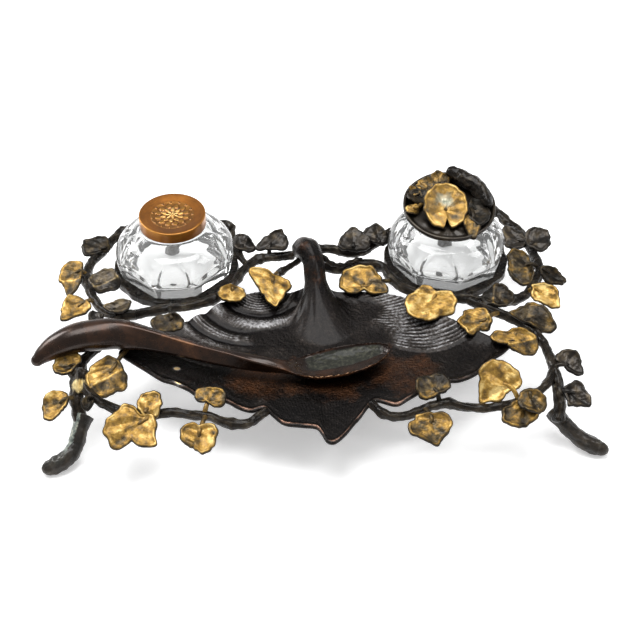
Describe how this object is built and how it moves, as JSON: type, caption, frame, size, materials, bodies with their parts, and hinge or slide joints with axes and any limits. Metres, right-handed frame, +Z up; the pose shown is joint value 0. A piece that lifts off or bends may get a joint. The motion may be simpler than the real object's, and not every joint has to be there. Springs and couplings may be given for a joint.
{
  "type": "desk inkstand",
  "caption": "Cast bronze inkstand of ivy stems and leaves with a leaf-shaped pen tray, glass inkwells with loose lids, and a loose spoon.",
  "frame": {"origin": "centre of the bounding box, on the table under the feet", "axes": "+X along the stand to the right as seen from the pen tray's side, +Y to the back, where the inkwells stand, +Z up"},
  "size_m": [0.3177, 0.2079, 0.0841],
  "materials": {
    "bronze": "dark patina, semi-gloss, rubbed on the knots",
    "tray_bronze": "dark brown patina, semi-gloss",
    "gilt_leaf": "worn gilding over brown patina",
    "olive_leaf": "olive-brown patina with gilt edges",
    "brass": "orange-brown, semi-gloss",
    "gilt_relief": "gold over brown, cast relief",
    "glass": "clear, polished, faceted",
    "spoon_bronze": "glossy dark brown handle, grey-green bowl with a copper edge"
  },
  "bodies": {
    "stand": {"pen_tray": "tray_bronze", "ring_left": "bronze", "ring_right": "bronze", "vine_left_outer": "bronze", "vine_left_inner": "bronze", "vine_left_lower": "bronze", "vine_left_front": "bronze", "vine_right_outer": "bronze", "vine_right_back": "bronze", "vine_right_inner": "bronze", "vine_right_lower": "bronze", "vine_right_front": "bronze", "vine_left_back": "bronze", "twig_hook": "bronze", "twig_back_left": "bronze", "twig_left_tip": "bronze", "twig_right_tip": "bronze", "leg_front_left": "bronze", "leg_front_right": "bronze", "foot_front_left": "bronze", "foot_front_right": "bronze", "foot_back_left": "bronze", "foot_back_right": "bronze", "leaves_left_outer": "gilt_leaf", "leaves_left_ring": "gilt_leaf", "leaf_stem_left": "gilt_leaf", "leaf_stem_right": "gilt_leaf", "leaves_right_ring": "gilt_leaf", "leaves_right_middle": "gilt_leaf", "leaf_right_tip": "gilt_leaf", "leaf_right_big": "gilt_leaf", "leaves_front_right": "gilt_leaf", "leaves_right_outer": "gilt_leaf", "leaves_left_leg": "gilt_leaf", "leaf_left_tip": "gilt_leaf", "leaf_left_big": "gilt_leaf", "leaves_front_left": "gilt_leaf", "leaves_left_inner": "olive_leaf", "leaves_back_left": "olive_leaf", "leaves_back_right": "olive_leaf", "leaves_right_corner": "olive_leaf", "leaves_right_leg": "olive_leaf", "leaves_right_back": "olive_leaf"},
    "left_well": {"inkwell_left": "glass"},
    "right_well": {"inkwell_right": "glass"},
    "left_cap": {"cap_left": "brass", "cap_rosette": "gilt_relief"},
    "right_lid": {"lid_right": "bronze", "lid_leaf_round": "gilt_leaf", "lid_leaves": "gilt_leaf", "lid_twig": "bronze"},
    "spoon": {"spoon": "spoon_bronze"}
  },
  "joints": [
    {"name": "left_well_lift", "type": "slide", "parent": "stand", "child": "left_well", "axis": [0, 0, 1], "range_m": [0, 0.06]},
    {"name": "right_well_lift", "type": "slide", "parent": "stand", "child": "right_well", "axis": [0, 0, 1], "range_m": [0, 0.06]},
    {"name": "left_cap_lift", "type": "slide", "parent": "left_well", "child": "left_cap", "axis": [0, 0, 1], "range_m": [0, 0.04]},
    {"name": "right_lid_lift", "type": "slide", "parent": "right_well", "child": "right_lid", "axis": [0, 0, 1], "range_m": [0, 0.04]},
    {"name": "spoon_lift", "type": "slide", "parent": "stand", "child": "spoon", "axis": [0, 0, 1], "range_m": [0, 0.08]}
  ]
}
